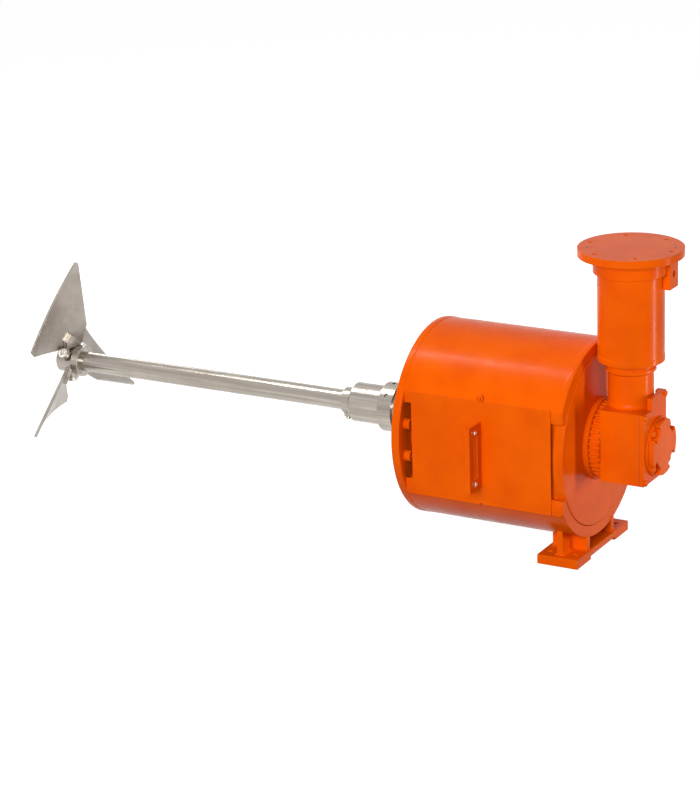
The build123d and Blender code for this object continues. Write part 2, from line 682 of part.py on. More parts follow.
def gearbox_cover():
    x0, x1 = BOX_X1, BOX_X1 + COVER_PLATE
    body = box_outline(x0, x1) + block(x0, x1, TAB_FRONT, BOX_BACK, BOX_TOP - 10, TAB_TOP)
    body += rod(x0 - 8, x0 + 1, BEARING_R + 8)
    body -= rod(x0 - 9, x1 + 1, BEARING_R + RUN_GAP)
    for y, z in box_screw_places():
        body -= rod(x0 - 1, x1 + 1, BOX_SCREW_R + 0.5, y, z)
    for y, z in circle_points(CAP_SCREW_PCD, CAP_NOTCHES, 45):
        body -= rod(x1 - 9, x1 + 1, CAP_SCREW_R + RUN_GAP, y, z)
    return body


def gearbox_screws():
    x1 = BOX_X1 + COVER_PLATE
    return [hex_screw(x1, BOX_X1 - TAB_WEB + 1, BOX_SCREW_R, y, z) for y, z in box_screw_places()]


def bearing_cap():
    x0 = BOX_X1 + COVER_PLATE
    x1 = x0 + CAP_THICKNESS
    body = rod(x0, x1, CAP_R)
    out = 30
    for i in range(CAP_NOTCHES):
        notch = Pos((x0 + x1) / 2, 0, CAP_NOTCH_IN + out / 2) * Box(60, CAP_NOTCH_WIDTH, out)
        body -= Rot(45 + 360 / CAP_NOTCHES * i, 0, 0) * notch
    body = chamfer(body.faces().sort_by(Axis.X)[-1].edges(), 1.5)
    body += rod(x0, x0 + CAP_BASE, CAP_BASE_R)
    body -= rod(x0 - 1, x0 + 9, 30)
    for y, z in circle_points(CAP_SCREW_PCD, CAP_NOTCHES, 45):
        body -= rod(x0 - 1, x0 + CAP_BASE + 1, CAP_SCREW_R + 0.5, y, z)
    return body


def cap_screws():
    x0 = BOX_X1 + COVER_PLATE
    places = circle_points(CAP_SCREW_PCD, CAP_NOTCHES, 45)
    return [hex_screw(x0 + CAP_BASE, x0 - 8, CAP_SCREW_R, y, z) for y, z in places]


# ---------------------------------------------------------------- upright drive
def input_neck():
    lower = BOX_TOP + INPUT_BEARING_W + 4
    upper = STEP_Z - 12
    body = turned([
        (INPUT_BEARING_R, BOX_TOP - BOX_WALL), (41.8, BOX_TOP - BOX_WALL), (41.8, BOX_TOP),
        (NECK_R + 2, BOX_TOP), (NECK_R + 2, BOX_TOP + 5), (NECK_R, BOX_TOP + 12),
        (NECK_R, STEP_Z - 5), (STEP_R, STEP_Z), (STEP_R, STEP_Z + 8), (STEP_R - 2.5, STEP_Z + 9),
        (STEP_R - 2.5, STEP_Z + 12), (STEP_R, STEP_Z + 13), (STEP_R, NECK_TOP), (22, NECK_TOP),
        (22, upper + 10), (26, upper + 10), (26, upper), (INPUT_BEARING_R, upper),
        (INPUT_BEARING_R, upper - INPUT_BEARING_W), (27, upper - INPUT_BEARING_W), (27, lower),
        (INPUT_BEARING_R, lower)])
    for x, y in lantern_screw_places():
        body -= post(NECK_TOP - 13, NECK_TOP + 1, 3.9 + RUN_GAP, x, y)
    return body - block(BOX_X1 - 0.3, BOX_X1 + 20, -70, 70, BOX_TOP - 1, BOX_TOP + 30)


def motor_lantern():
    inner = LANTERN_R - LANTERN_WALL
    top = MOTOR_FLANGE_Z
    foot_r = LANTERN_R + 0.8
    body = turned([
        (45, NECK_TOP), (foot_r, NECK_TOP), (foot_r, NECK_TOP + LANTERN_FOOT_H),
        (LANTERN_R, NECK_TOP + LANTERN_FOOT_H + 1),
        (LANTERN_R, COLLAR_BAND_Z - COLLAR_BAND_SLOPE), (COLLAR_BAND_R, COLLAR_BAND_Z),
        (COLLAR_BAND_R, top - MOTOR_FLANGE_T), (MOTOR_FLANGE_R, top - MOTOR_FLANGE_T),
        (MOTOR_FLANGE_R, top), (BLANK_R + 0.3, top), (BLANK_R + 0.3, top - BLANK_T),
        (inner + 4, top - BLANK_T), (inner, top - BLANK_T - 8), (inner, NECK_TOP + LANTERN_FLOOR),
        (45, NECK_TOP + LANTERN_FLOOR)])
    for i in range(MOTOR_HOLES):
        angle = 2 * math.pi * i / MOTOR_HOLES
        x = MOTOR_X + MOTOR_PCD / 2 * math.cos(angle)
        body -= post(top - 40, top + 1, MOTOR_HOLE_R, x, MOTOR_PCD / 2 * math.sin(angle))
    for x, y in lantern_screw_places():
        body -= post(NECK_TOP - 1, NECK_TOP + LANTERN_FLOOR + 1, 4.5, x, y)
    return body


def lantern_screw_places():
    return [(MOTOR_X + 52 * math.cos(a), 52 * math.sin(a))
            for a in [math.pi / 3 * i for i in range(6)]]


def lantern_screws():
    top = NECK_TOP + LANTERN_FLOOR
    return [post(top, top + 7, 6.5, x, y) + post(NECK_TOP - 12, top + 1, 3.9, x, y)
            for x, y in lantern_screw_places()]


def jaw_hub(z0, z1, bore, jaws_up):
    """Half of a jaw coupling with three jaws."""
    body = pipe(z0, z1, JAW_R, bore)
    face = z1 if jaws_up else z0 - 14
    for i in range(3):
        turn = 120 * i + (0 if jaws_up else 60)
        wedge = Pos(MOTOR_X, 0, 0) * Rot(0, 0, turn) * Pos(28, 0, face + 7) * Box(14, 14, 14)
        body += wedge
    return body


def spider(z0):
    """Elastic star between the jaws."""
    body = pipe(z0, z0 + 12, 18, 10)
    for i in range(6):
        leg = Pos(MOTOR_X, 0, 0) * Rot(0, 0, 60 * i + 30) * Pos(27, 0, z0 + 6) * Box(18, 5, 12)
        body += leg
    return body


def input_shaft():
    return turned([(0, 37), (7, 37), (7, 67.3), (INPUT_SHAFT_R, 67.3), (INPUT_SHAFT_R, 262), (0, 262)])


def upright_bearing(z, bore, outer, width):
    lip = (outer - bore) * 0.3
    outer_race = turned([(outer, z), (outer, z + width), (bore + lip, z + width),
                         (bore + lip, z + width - 1.5), (outer - lip, z + width - 1.5),
                         (outer - lip, z + 1.5), (bore + lip, z + 1.5), (bore + lip, z)])
    return outer_race, pipe(z, z + width, bore + lip - 0.4, bore + RUN_GAP)


def hatch():
    """Inspection hatch of the motor coupling, on the drive side of the lantern."""
    x = MOTOR_X + HATCH_OUT
    top = MOTOR_FLANGE_Z - MOTOR_FLANGE_T - 1
    body = block(MOTOR_X + 40, x, HATCH_Y0, HATCH_Y1, HATCH_Z0, top)
    slope = COLLAR_BAND_Z - COLLAR_BAND_SLOPE
    body -= post(HATCH_Z0 - 1, slope, LANTERN_R)
    body -= post(slope, top + 1, COLLAR_BAND_R)
    y = (HATCH_Y0 + HATCH_Y1 - HATCH_POCKET) / 2
    z = slope - HATCH_POCKET / 2
    return body - block(x - 10, x + 1, y, y + HATCH_POCKET, z, z + HATCH_POCKET)


def main():
    os.makedirs("parts", exist_ok=True)
    save("drum_housing", drum_housing())
    save("rear_plate", rear_plate())
    save("rear_plate_screws", *rear_plate_screws())
    save("gearbox_mount_screws", *gearbox_mount_screws())
    for name, side in (("near", -1), ("far", 1)):
        save(f"{name}_access_cover", access_cover(side))
        save(f"{name}_cover_handle", cover_handle(side))
        save(f"{name}_handle_screws", *handle_screws(side))
        save(f"{name}_clamp_screws", *clamp_screws(side))
    save("seal_carrier", seal_carrier())
    save("seal_carrier_screws", *carrier_screws())
    save("seal_flange", seal_flange())
    save("seal_housing", seal_housing())
    save("seal_shaft_sleeve", tube(SEAL_HOUSING_X + 2, CARRIER_NECK_X + 30, SEAL_SLEEVE_R,
                                   SHAFT_R + RUN_GAP))
    save("seal_bellows", seal_bellows())
    x = SEAL_HOUSING_X + 50
    save("seal_rotating_ring", tube(x, x + 12, 37, SEAL_SLEEVE_R + RUN_GAP))
    save("seal_fixed_ring", tube(x + 12.3, x + 24, SEAL_CAVITY_R - RUN_GAP, SEAL_SLEEVE_R + 0.6))
    save("seal_drive_collar", tube(SEAL_HOUSING_X + 12, SEAL_HOUSING_X + 26, 37, SEAL_SLEEVE_R + RUN_GAP))
    collar = tube(SEAL_HOUSING_X - 4 - COLLAR_WIDTH, SEAL_HOUSING_X - 4, COLLAR_R, SHAFT_R + RUN_GAP)
    save("shaft_collar", collar)
    bearing_x = HUB_RING_WALL - STEADY_BEARING_W
    outer, inner = shaft_bearing(bearing_x, SHAFT_R, STEADY_BEARING_R - RUN_GAP, STEADY_BEARING_W)
    save("steady_bearing_outer_race", outer)
    save("steady_bearing_inner_race", inner)
    save("propeller_shaft", propeller_shaft())
    save("propeller_hub", propeller_hub())
    for i, turn in enumerate(hub_turns(BLADE_FIRST)):
        save(f"propeller_blade_{i + 1}", turn * blade())
    save("hub_screws", *hub_screws())
    save("hub_clamp_ring", hub_clamp_ring())
    save("hub_nut", hub_nut())
    save("coupling_upper_half", coupling_half(1))
    save("coupling_lower_half", coupling_half(-1))
    save("coupling_screws", *coupling_screws())
    save("output_shaft", output_shaft())
    outers, inners = [], []
    for x in (FRONT_BEARING_X, BOX_X1 - 5):
        outer, inner = shaft_bearing(x, DRIVE_SHAFT_R, BEARING_R, BEARING_W)
        outers.append(outer)
        inners.append(inner)
    save("output_bearing_outer_races", *outers)
    save("output_bearing_inner_races", *inners)
    save("output_spacer_sleeve", tube(MOTOR_X - 8.8, BOX_X1 - 5.2, 25, DRIVE_SHAFT_R + RUN_GAP))
    save("bevel_wheel", bevel_wheel())
    save("bevel_pinion", bevel_pinion())
    save("gearbox_housing", gearbox_housing())
    save("gearbox_cover", gearbox_cover())
    save("gearbox_cover_screws", *gearbox_screws())
    save("output_bearing_cap", bearing_cap())
    save("bearing_cap_screws", *cap_screws())
    save("input_neck", input_neck())
    save("input_shaft", input_shaft())
    outers, inners = [], []
    for z in (BOX_TOP + 4, STEP_Z - 12 - INPUT_BEARING_W):
        outer, inner = upright_bearing(z, INPUT_SHAFT_R, INPUT_BEARING_R - RUN_GAP, INPUT_BEARING_W)
        outers.append(outer)
        inners.append(inner)
    save("input_bearing_outer_races", *outers)
    save("input_bearing_inner_races", *inners)
    save("motor_lantern", motor_lantern())
    save("lantern_screws", *lantern_screws())
    save("coupling_hatch", hatch())
    save("jaw_coupling_gearbox_half", jaw_hub(222, 262, INPUT_SHAFT_R + RUN_GAP, True))
    save("jaw_coupling_spider", spider(262))
    save("jaw_coupling_motor_half", jaw_hub(276.3, 320, 14, False))
    save("motor_opening_blank", post(MOTOR_FLANGE_Z - BLANK_T, MOTOR_FLANGE_Z, BLANK_R))


main()
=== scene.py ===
import bpy
import bmesh
import json
import math
from mathutils import Matrix, Vector


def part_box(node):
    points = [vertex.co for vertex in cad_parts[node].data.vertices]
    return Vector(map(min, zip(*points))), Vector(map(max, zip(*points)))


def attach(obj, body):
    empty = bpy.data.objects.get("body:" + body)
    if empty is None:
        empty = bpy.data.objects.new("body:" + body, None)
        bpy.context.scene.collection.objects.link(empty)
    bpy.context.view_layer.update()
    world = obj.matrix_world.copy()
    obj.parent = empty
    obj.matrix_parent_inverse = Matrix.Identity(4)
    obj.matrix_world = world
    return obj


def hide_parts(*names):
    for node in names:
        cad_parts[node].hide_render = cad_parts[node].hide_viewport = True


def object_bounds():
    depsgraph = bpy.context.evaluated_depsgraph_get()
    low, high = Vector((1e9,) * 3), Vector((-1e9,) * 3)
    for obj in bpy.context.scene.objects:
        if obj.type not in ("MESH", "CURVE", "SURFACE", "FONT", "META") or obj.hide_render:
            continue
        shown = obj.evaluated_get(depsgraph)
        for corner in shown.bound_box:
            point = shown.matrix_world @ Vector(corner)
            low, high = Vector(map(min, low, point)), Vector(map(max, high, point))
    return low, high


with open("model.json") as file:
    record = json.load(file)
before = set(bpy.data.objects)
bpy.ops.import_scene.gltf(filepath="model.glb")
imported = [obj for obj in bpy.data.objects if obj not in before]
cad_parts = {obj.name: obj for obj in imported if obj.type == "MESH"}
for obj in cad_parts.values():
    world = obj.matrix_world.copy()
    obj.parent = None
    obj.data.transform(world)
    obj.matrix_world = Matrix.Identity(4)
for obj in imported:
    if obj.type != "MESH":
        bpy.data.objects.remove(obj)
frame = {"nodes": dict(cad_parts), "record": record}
cadLow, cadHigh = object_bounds()
nodes = frame["nodes"]
mm = 0.001
print("frame loaded", len(nodes), "nodes")


def srgb(hexText):
    # sRGB hex to linear colour
    values = [int(hexText[i:i + 2], 16) / 255 for i in (1, 3, 5)]
    linear = [v / 12.92 if v <= 0.04045 else ((v + 0.055) / 1.055) ** 2.4 for v in values]
    return (*linear, 1.0)


def addNode(tree, kind, settings=None, links=None):
    # settings are properties or input values, links are inputs -> output sockets,
    # and both take inputs by name or number
    node = tree.nodes.new(kind)
    for key, value in (settings or {}).items():
        if isinstance(key, int) or key in node.inputs:
            node.inputs[key].default_value = value
        else:
            setattr(node, key, value)
    for key, socket in (links or {}).items():
        tree.links.new(node.inputs[key], socket)
    return node


def newMaterial(name):
    material = bpy.data.materials.new(name)
    material.use_nodes = True
    tree = material.node_tree
    tree.nodes.clear()
    shader = addNode(tree, "ShaderNodeBsdfPrincipled")
    addNode(tree, "ShaderNodeOutputMaterial", links={"Surface": shader.outputs["BSDF"]})
    coords = addNode(tree, "ShaderNodeTexCoord").outputs["Object"]
    return material, tree, shader, coords


enamel = {
    "orange": "#E85C00",
    "thin": "#F68020",  # over sharp edges, where the coat draws back
    "deep": "#DE5200",  # where it lies a little thicker
    "cloudMm": 90,
    "glossPatchMm": 30,
    "edgeMm": 1.4,
    "peelDepthMm": 0.3,
    "ior": 1.5,
    "specular": 0.045,  # below a real enamel's, or the white surroundings wash the colour out
}


def orangeEnamel(name, peelMm, peelBump, roughness):
    # sprayed enamel on primed metal: glossy and faintly pebbled, paler where it thins over edges,
    # with the pebbles of the coat drawn coarser than real ones so that they show
    material, tree, shader, coords = newMaterial(name)
    cloud = addNode(tree, "ShaderNodeTexNoise",
                    {"Scale": 1000 / enamel["cloudMm"], "Detail": 2.0}, {"Vector": coords})
    cloudShare = addNode(tree, "ShaderNodeMapRange", {"From Min": 0.35, "From Max": 0.7},
                         {"Value": cloud.outputs["Fac"]})
    base = addNode(tree, "ShaderNodeMix",
                   {"data_type": "RGBA", 6: srgb(enamel["orange"]), 7: srgb(enamel["deep"])},
                   {0: cloudShare.outputs["Result"]})
    soft = addNode(tree, "ShaderNodeBevel", {"samples": 8, "Radius": enamel["edgeMm"] * mm})
    facing = addNode(tree, "ShaderNodeNewGeometry")
    nearness = addNode(tree, "ShaderNodeVectorMath", {"operation": "DOT_PRODUCT"},
                       {0: soft.outputs["Normal"], 1: facing.outputs["Normal"]})
    edge = addNode(tree, "ShaderNodeMapRange", {"From Min": 0.97, "From Max": 0.75, "To Max": 0.8},
                   {"Value": nearness.outputs["Value"]})
    colour = addNode(tree, "ShaderNodeMix", {"data_type": "RGBA", 7: srgb(enamel["thin"])},
                     {0: edge.outputs["Result"], 6: base.outputs[2]})
    peel = addNode(tree, "ShaderNodeTexNoise", {"Scale": 1000 / peelMm, "Detail": 1.0},
                   {"Vector": coords})
    patch = addNode(tree, "ShaderNodeTexNoise",
                    {"Scale": 1000 / enamel["glossPatchMm"], "Detail": 2.0}, {"Vector": coords})
    gloss = addNode(tree, "ShaderNodeMapRange",
                    {"From Min": 0.3, "From Max": 0.7,
                     "To Min": roughness - 0.05, "To Max": roughness + 0.06},
                    {"Value": patch.outputs["Fac"]})
    bump = addNode(tree, "ShaderNodeBump",
                   {"Strength": peelBump, "Distance": enamel["peelDepthMm"] * mm},
                   {"Height": peel.outputs["Fac"], "Normal": soft.outputs["Normal"]})
    tree.links.new(shader.inputs["Base Color"], colour.outputs[2])
    tree.links.new(shader.inputs["Roughness"], gloss.outputs["Result"])
    tree.links.new(shader.inputs["Normal"], bump.outputs["Normal"])
    shader.inputs["IOR"].default_value = enamel["ior"]
    shader.inputs["Specular IOR Level"].default_value = enamel["specular"]
    return material


metal = {
    "cloudMm": 60,
    "dulling": 0.2,           # how far the clouds go towards the dark colour
    # tool lines on most metals, painted reflection bands along the shaft
    "toolLineAndReflectionShade": 0.45,        # how far the tool lines do
    "lineDepthMm": 0.04,
}


def steel(name, light, dark, roughness, lineMm, stretch, bump=0.25, edgeMm=0.6):
    # bare metal: tool lines one way, drawn coarser than real ones so that they show,
    # and cloudy patches of duller surface; along the shaft the long lines are painted reflection
    # bands, not tool lines
    material, tree, shader, coords = newMaterial(name)
    along = addNode(tree, "ShaderNodeMapping", {"Scale": stretch}, {"Vector": coords})
    lines = addNode(tree, "ShaderNodeTexNoise", {"Scale": 1000 / lineMm, "Detail": 2.0},
                    {"Vector": along.outputs["Vector"]})
    cloud = addNode(tree, "ShaderNodeTexNoise",
                    {"Scale": 1000 / metal["cloudMm"], "Detail": 3.0}, {"Vector": coords})
    cloudShare = addNode(tree, "ShaderNodeMapRange",
                         {"From Min": 0.35, "From Max": 0.75, "To Max": metal["dulling"]},
                         {"Value": cloud.outputs["Fac"]})
    base = addNode(tree, "ShaderNodeMix", {"data_type": "RGBA", 6: srgb(light), 7: srgb(dark)},
                   {0: cloudShare.outputs["Result"]})
    # the lines darken the colour: real tool lines on most metals, painted reflection bands along
    # the shaft
    lineAndReflectionShare = addNode(tree, "ShaderNodeMapRange",
                        {"From Min": 0.35, "From Max": 0.65, "To Max": metal["toolLineAndReflectionShade"]},
                        {"Value": lines.outputs["Fac"]})
    colour = addNode(tree, "ShaderNodeMix", {"data_type": "RGBA", 7: srgb(dark)},
                     {0: lineAndReflectionShare.outputs["Result"], 6: base.outputs[2]})
    gloss = addNode(tree, "ShaderNodeMapRange",
                    {"From Min": 0.3, "From Max": 0.7,
                     "To Min": roughness - 0.05, "To Max": roughness + 0.08},
                    {"Value": cloud.outputs["Fac"]})
    soft = addNode(tree, "ShaderNodeBevel", {"samples": 4, "Radius": edgeMm * mm})
    relief = addNode(tree, "ShaderNodeBump",
                     {"Strength": bump, "Distance": metal["lineDepthMm"] * mm},
                     {"Height": lines.outputs["Fac"], "Normal": soft.outputs["Normal"]})
    shader.inputs["Metallic"].default_value = 1.0
    tree.links.new(shader.inputs["Base Color"], colour.outputs[2])
    tree.links.new(shader.inputs["Roughness"], gloss.outputs["Result"])
    tree.links.new(shader.inputs["Normal"], relief.outputs["Normal"])
    return material


rubber = {"dark": "#1B2A66", "bloom": "#27397C", "bloomMm": 8, "reliefMm": 0.1}


def elastomer(name):
    # moulded coupling rubber: matt, with a faint bloom
    material, tree, shader, coords = newMaterial(name)
    cloud = addNode(tree, "ShaderNodeTexNoise",
                    {"Scale": 1000 / rubber["bloomMm"], "Detail": 3.0}, {"Vector": coords})
    colour = addNode(tree, "ShaderNodeMix",
                     {"data_type": "RGBA", 6: srgb(rubber["dark"]), 7: srgb(rubber["bloom"])},
                     {0: cloud.outputs["Fac"]})
    gloss = addNode(tree, "ShaderNodeMapRange", {"To Min": 0.45, "To Max": 0.7},
                    {"Value": cloud.outputs["Fac"]})
    relief = addNode(tree, "ShaderNodeBump",
                     {"Strength": 0.2, "Distance": rubber["reliefMm"] * mm},
                     {"Height": cloud.outputs["Fac"]})
    tree.links.new(shader.inputs["Base Color"], colour.outputs[2])
    tree.links.new(shader.inputs["Roughness"], gloss.outputs["Result"])
    tree.links.new(shader.inputs["Normal"], relief.outputs["Normal"])
    return material


noWay = (1.0, 1.0, 1.0)  # tool lines that run no particular way
finishes = {
    # thick coat over rough castings: the strongest pebbles
    "orange_cast": orangeEnamel("orange enamel on cast iron", 7.0, 0.3, 0.24),
    # thin coat over rolled sheet: long, soft waves
    "orange_sheet": orangeEnamel("orange enamel on steel sheet", 14.0, 0.1, 0.22),
    # painted over after fitting: a little duller
    "painted_screws": orangeEnamel("orange enamel on screws", 6.0, 0.12, 0.32),
    # turned stainless on the shaft: warm grey, with long dark lines along the axis that are painted
    # reflection bands
    "satin_stainless": steel("turned stainless steel", "#B5ADA3", "#6E665E", 0.24, 9.0,
                             (0.02, 1.0, 1.0)),
    # rolled and polished: the brightest metal
    "stainless_screws": steel("bright stainless screws", "#E4E0DA", "#A8A39B", 0.2, 2.0,
                              noWay, 0.1, 0.3),
    # plated: greyer, softer gloss
    "zinc_screws": steel("zinc plated steel", "#C8C8C4", "#9FA09C", 0.35, 2.0, noWay, 0.15, 0.3),
    # turned carbon steel: cool grey
    "machined_steel": steel("machined steel", "#B9B9B7", "#8E8E8C", 0.32, 2.0, (1.0, 0.08, 0.08)),
    # ground and polished: nearly a mirror
    "bearing_steel": steel("ground bearing steel", "#D2D2D0", "#ADADAB", 0.14, 2.0,
                           (1.0, 0.05, 0.05), 0.08),
    # lapped flat: dark and even
    "seal_face": steel("lapped carbide", "#4A4A4C", "#323234", 0.2, 2.0, noWay, 0.06),
    # machined castings: dark and dull
    "coupling_iron": steel("machined grey iron", "#6E6E70", "#4C4C4E", 0.42, 3.0, noWay, 0.3),
    "elastomer": elastomer("blue elastomer"),
}

slotOf = {row["node"]: row["material_slot"] for row in frame["record"]["subparts"]}
for nodeName, obj in nodes.items():
    finish = finishes[slotOf[nodeName]]
    if not obj.material_slots:
        obj.data.materials.append(finish)
    for materialSlot in obj.material_slots:
        materialSlot.material = finish
# the blades are ground plate: even and satin, without turned lines
bladeSteel = steel("ground stainless plate", "#A8A199", "#8B847B", 0.27, 40.0, noWay, 0.04, 1.2)
for nodeName in nodes:
    if "blade" in nodeName:
        for materialSlot in nodes[nodeName].material_slots:
            materialSlot.material = bladeSteel
print("finishes on the carried-over nodes")


def deselectAll():
    if bpy.context.mode != "OBJECT":
        bpy.ops.object.mode_set(mode="OBJECT")
    bpy.ops.object.select_all(action="DESELECT")


def selectOnly(obj):
    deselectAll()
    obj.select_set(True)
    bpy.context.view_layer.objects.active = obj


def applyPlace(obj):
    selectOnly(obj)
    bpy.ops.object.transform_apply(location=True, rotation=True, scale=True)


def selectFaces(obj, test):
    # in edit mode, the faces whose centre and normal pass the test
    bpy.ops.object.mode_set(mode="EDIT")
    bpy.ops.mesh.select_mode(type="FACE")
    bpy.ops.mesh.select_all(action="DESELECT")
    mesh = bmesh.from_edit_mesh(obj.data)
    for face in mesh.faces:
        face.select = test(face.calc_center_median(), face.normal)
    bmesh.update_edit_mesh(obj.data)


def selectEdges(obj, test):
    # in edit mode, the edges whose two ends pass the test
    bpy.ops.object.mode_set(mode="EDIT")
    bpy.ops.mesh.select_mode(type="EDGE")
    bpy.ops.mesh.select_all(action="DESELECT")
    mesh = bmesh.from_edit_mesh(obj.data)
    for edge in mesh.edges:
        edge.select = test(edge.verts[0].co, edge.verts[1].co)
    bmesh.update_edit_mesh(obj.data)


def softenEdges(obj, widthMm, segments=2, angle=35):
    selectOnly(obj)
    bevel = obj.modifiers.new("soft edges", "BEVEL")
    bevel.width = widthMm * mm
    bevel.segments = segments
    bevel.limit_method = "ANGLE"
    bevel.angle_limit = math.radians(angle)
    bpy.ops.object.modifier_apply(modifier=bevel.name)


def joinPieces(parts):
    deselectAll()
    for part in parts:
        part.select_set(True)
    bpy.context.view_layer.objects.active = parts[0]
    if len(parts) > 1:
        bpy.ops.object.join()
    return bpy.context.object


def copyAt(part, matrix):
    copy = part.copy()
    copy.data = part.data.copy()
    bpy.context.scene.collection.objects.link(copy)
    copy.data.transform(matrix)
    return copy


def removePiece(part):
    bpy.data.meshes.remove(part.data)


smoothAngle = math.radians(38)


def handOver(obj, name, body, slotName, replaced=()):
    applyPlace(obj)
    bpy.ops.object.shade_smooth_by_angle(angle=smoothAngle)
    obj.name = name
    obj.data.materials.clear()
    obj.data.materials.append(finishes[slotName])
    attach(obj, body)
    if replaced:
        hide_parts(*replaced)
    print("made", name)
    return obj


def solidBoxes(nodeName):
    # the box of each separate solid in a carried-over node
    mesh = bmesh.new()
    mesh.from_mesh(nodes[nodeName].data)
    bmesh.ops.remove_doubles(mesh, verts=mesh.verts, dist=0.001 * mm)
    seen = set()
    boxes = []
    for start in mesh.verts:
        if start in seen:
            continue
        seen.add(start)
        stack = [start]
        places = []
        while stack:
            vert = stack.pop()
            places.append(vert.co.copy())
            for edge in vert.link_edges:
                other = edge.other_vert(vert)
                if other not in seen:
                    seen.add(other)
                    stack.append(other)
        low = Vector([min(p[i] for p in places) for i in range(3)])
        high = Vector([max(p[i] for p in places) for i in range(3)])
        boxes.append((low, high))
    mesh.free()
    return boxes


# screws: each kind is modelled once, standing on its seat at the origin with its head up.
# The shares are of the head's radius, but of its height for crownRise, washerH and washerEdge.
hexHead = {
    "crownInset": 0.14,
    "crownRise": 0.12,
    "crownRim": 0.06,
    "edge": 0.06,
    "washerR": 0.97,
    "washerH": 0.16,
    "washerEdge": 0.04,
}
socketHead = {"socketR": 0.52, "socketHeight": 0.92, "edge": 0.07}
thread = {"pitch": 0.45, "root": 0.93, "fewest": 4, "sides": 20}  # pitch and root: shares of radius


def hexScrew(sizes):
    # hexagon head with a chamfered crown and a washer face, on a shank with shallow threads
    head, height, shank, length = (sizes[k] * mm for k in ("headR", "headH", "shankR", "shankL"))
    deselectAll()
    bpy.ops.mesh.primitive_cylinder_add(vertices=6, radius=head, depth=height,
                                        location=(0, 0, height / 2))
    obj = bpy.context.object
    applyPlace(obj)
    selectFaces(obj, lambda centre, normal: normal.z > 0.9)
    bpy.ops.mesh.inset(thickness=head * hexHead["crownInset"], depth=0)
    bpy.ops.transform.translate(value=(0, 0, height * hexHead["crownRise"]))
    bpy.ops.mesh.inset(thickness=head * hexHead["crownRim"], depth=0)
    bpy.ops.object.mode_set(mode="OBJECT")
    softenEdges(obj, sizes["headR"] * hexHead["edge"], 2, 20)
    washerHeight = height * hexHead["washerH"]
    bpy.ops.mesh.primitive_cylinder_add(vertices=32, radius=head * hexHead["washerR"],
                                        depth=washerHeight, location=(0, 0, washerHeight / 2))
    washer = bpy.context.object
    softenEdges(washer, sizes["headH"] * hexHead["washerEdge"])
    return joinPieces([obj, washer, threadedShank(shank, length)])


def threadedShank(radius, length):
    # rings pinched in and out, as coarse as shows
    rings = max(thread["fewest"], int(length / (radius * thread["pitch"])))
    bpy.ops.mesh.primitive_cylinder_add(vertices=thread["sides"], radius=radius, depth=length,
                                        location=(0, 0, -length / 2))
    obj = bpy.context.object
    applyPlace(obj)
    bpy.ops.object.mode_set(mode="EDIT")
    for i in range(1, rings * 2):
        bpy.ops.mesh.select_all(action="SELECT")
        bpy.ops.mesh.bisect(plane_co=(0, 0, -length * i / (rings * 2)), plane_no=(0, 0, 1))
        if i % 2:
            bpy.ops.transform.resize(value=(thread["root"], thread["root"], 1),
                                     center_override=(0, 0, 0))
    bpy.ops.object.mode_set(mode="OBJECT")
    return obj


def socketScrew(sizes):
    # round head with a six sided socket, soft rim, on a shank
    head, height, shank, length = (sizes[k] * mm for k in ("headR", "headH", "shankR", "shankL"))
    deselectAll()
    bpy.ops.mesh.primitive_cylinder_add(vertices=48, radius=head, depth=height,
                                        location=(0, 0, height / 2))
    obj = bpy.context.object
    applyPlace(obj)
    bpy.ops.mesh.primitive_cylinder_add(vertices=6, radius=head * socketHead["socketR"],
                                        depth=height,
                                        location=(0, 0, height * socketHead["socketHeight"]))
    cutter = bpy.context.object
    cut = obj.modifiers.new("socket", "BOOLEAN")
    cut.operation = "DIFFERENCE"
    cut.object = cutter
    selectOnly(obj)
    bpy.ops.object.modifier_apply(modifier=cut.name)
    removePiece(cutter)
    softenEdges(obj, sizes["headR"] * socketHead["edge"], 3, 40)
    return joinPieces([obj, threadedShank(shank, length)])


clampWasher = {"radius": 9.4, "thick": 2.3, "middle": -1.2, "edge": 0.5}


def clampWithWasher(sizes):
    screw = socketScrew(sizes)
    bpy.ops.mesh.primitive_cylinder_add(vertices=40, radius=clampWasher["radius"] * mm,
                                        depth=clampWasher["thick"] * mm,
                                        location=(0, 0, clampWasher["middle"] * mm))
    washer = bpy.context.object
    softenEdges(washer, clampWasher["edge"])
    return joinPieces([screw, washer])


alongAxis = {
    "x": Matrix.Rotation(math.radians(90), 4, "Y"),
    "-x": Matrix.Rotation(math.radians(-90), 4, "Y"),
    "y": Matrix.Rotation(math.radians(-90), 4, "X"),
    "-y": Matrix.Rotation(math.radians(90), 4, "X"),
}
turnStep = 17  # each screw stands a little further round than the last, in degrees


def screwSet(kind, sizes, nodeName, axis, body, slotName, name):
    # one screw of the kind on each solid of the node, with the underside of its head on the seat
    model = kind(sizes)
    copies = []
    index = "xyz".index(axis[-1])
    for low, high in solidBoxes(nodeName):
        seat = (low + high) / 2
        sign = -1 if axis[0] == "-" else 1
        tip = high[index] if sign > 0 else low[index]
        seat[index] = tip - sign * sizes["headTop"] * mm
        turn = Matrix.Rotation(math.radians(turnStep * len(copies)), 4, "Z")
        copies.append(copyAt(model, Matrix.Translation(seat) @ alongAxis[axis] @ turn))
    removePiece(model)
    handOver(joinPieces(copies), name, body, slotName, (nodeName,))


# sizes in mm; headTop is from the seat to the top of the CAD screw that each one stands for
coverScrew = {"headR": 7.4, "headH": 4.4, "shankR": 3.9, "shankL": 18, "headTop": 5.2}
capScrew = {"headR": 9.2, "headH": 5.6, "shankR": 4.9, "shankL": 13, "headTop": 6.4}
carrierScrew = {"headR": 7.9, "headH": 7.8, "shankR": 4.9, "shankL": 18, "headTop": 8.0}
handleScrew = {"headR": 6.4, "headH": 4.6, "shankR": 3.4, "shankL": 4.6, "headTop": 5.0}
clampScrew = {"headR": 5.4, "headH": 6.0, "shankR": 3.9, "shankL": 26, "headTop": 8.0}

